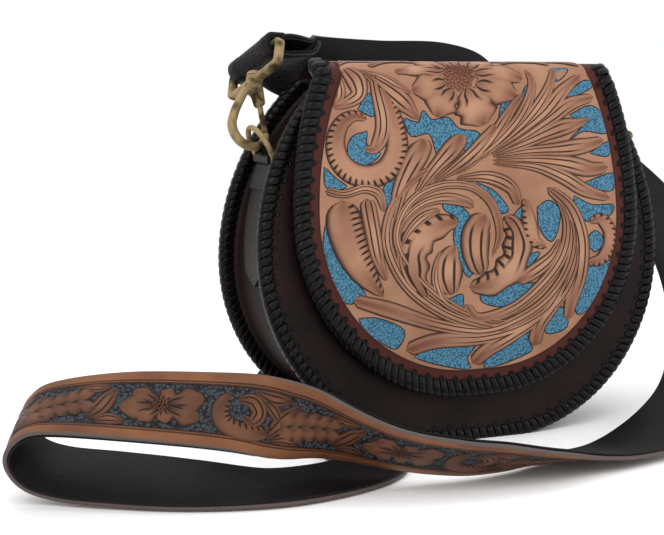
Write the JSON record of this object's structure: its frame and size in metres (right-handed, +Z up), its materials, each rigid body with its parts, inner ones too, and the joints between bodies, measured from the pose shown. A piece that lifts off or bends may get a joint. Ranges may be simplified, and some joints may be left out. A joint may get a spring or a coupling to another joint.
{
  "type": "saddle handbag",
  "caption": "Round-bottomed saddle handbag with laced seams, a tooled front flap and a long tooled leather strap clipped on by swivel snap hooks",
  "frame": {"origin": "Middle of the bag's base, halfway between the front and back seams, on the surface it stands on.", "axes": "+X is the viewer's right when facing the flap and the longest way across, -Y is the front, +Z is up."},
  "size_m": [0.4575, 0.2684, 0.2235],
  "materials": {
    "dark_leather": "waxed",
    "tooled_leather": "tooled and antiqued",
    "lining_leather": "matt",
    "lace": "smooth",
    "antique_brass": "antiqued",
    "spring_steel": "plain"
  },
  "bodies": {
    "bag": {"front_panel": "dark_leather", "back_panel": "dark_leather", "gusset": "dark_leather", "front_lining": "lining_leather", "back_lining": "lining_leather", "gusset_lining": "lining_leather", "front_seam_lacing": "lace", "back_seam_lacing": "lace", "snap_socket": "antique_brass", "snap_washer": "antique_brass", "strap_outer": "tooled_leather", "strap_lining": "lining_leather", "ring_tab_left": "lace", "swivel_eye_left": "antique_brass", "ring_tab_right": "lace", "swivel_eye_right": "antique_brass"},
    "flap": {"flap_outer": "tooled_leather", "flap_lining": "lining_leather", "flap_lacing": "lace", "snap_stud": "antique_brass"},
    "ring_left": {"ring_left": "antique_brass"},
    "hook_left": {"hook_frame_left": "antique_brass", "swivel_stem_left": "antique_brass", "gate_pin_left": "spring_steel", "gate_spring_left": "spring_steel"},
    "gate_left": {"hook_gate_left": "antique_brass"},
    "ring_right": {"ring_right": "antique_brass"},
    "hook_right": {"hook_frame_right": "antique_brass", "swivel_stem_right": "antique_brass", "gate_pin_right": "spring_steel", "gate_spring_right": "spring_steel"},
    "gate_right": {"hook_gate_right": "antique_brass"}
  },
  "joints": [
    {"name": "flap_fold", "type": "hinge", "parent": "bag", "child": "flap", "pos_m": [0, 0.01245, 0.20505], "axis": [-1, 0, 0], "range_deg": [0, 90]},
    {"name": "ring_swing_left", "type": "hinge", "parent": "bag", "child": "ring_left", "pos_m": [-0.10807, -0.003, 0.1552], "axis": [0, 1, 0], "range_deg": [-8, 8]},
    {"name": "hook_swivel_left", "type": "hinge", "parent": "bag", "child": "hook_left", "pos_m": [-0.11856, -0.00113, 0.16086], "axis": [0.3011, 0.4817, 0.823], "range_deg": [-25, 10]},
    {"name": "gate_left_pivot", "type": "hinge", "parent": "hook_left", "child": "gate_left", "pos_m": [-0.10498, 0.01412, 0.18463], "axis": [-0.2386, 0.8736, -0.4241], "range_deg": [0, 12], "stiffness_Nm_per_rad": 0.03, "springref_deg": -20.05},
    {"name": "ring_swing_right", "type": "hinge", "parent": "bag", "child": "ring_right", "pos_m": [0.10807, -0.003, 0.1552], "axis": [0, 1, 0], "range_deg": [-8, 8]},
    {"name": "hook_swivel_right", "type": "hinge", "parent": "bag", "child": "hook_right", "pos_m": [0.11839, -0.00343, 0.16243], "axis": [0, 1, 0], "range_deg": [-10, 25]},
    {"name": "gate_right_pivot", "type": "hinge", "parent": "hook_right", "child": "gate_right", "pos_m": [0.1149, 0.02757, 0.16542], "axis": [0.65, 0, 0.76], "range_deg": [0, 12], "stiffness_Nm_per_rad": 0.03, "springref_deg": -20.05}
  ]
}
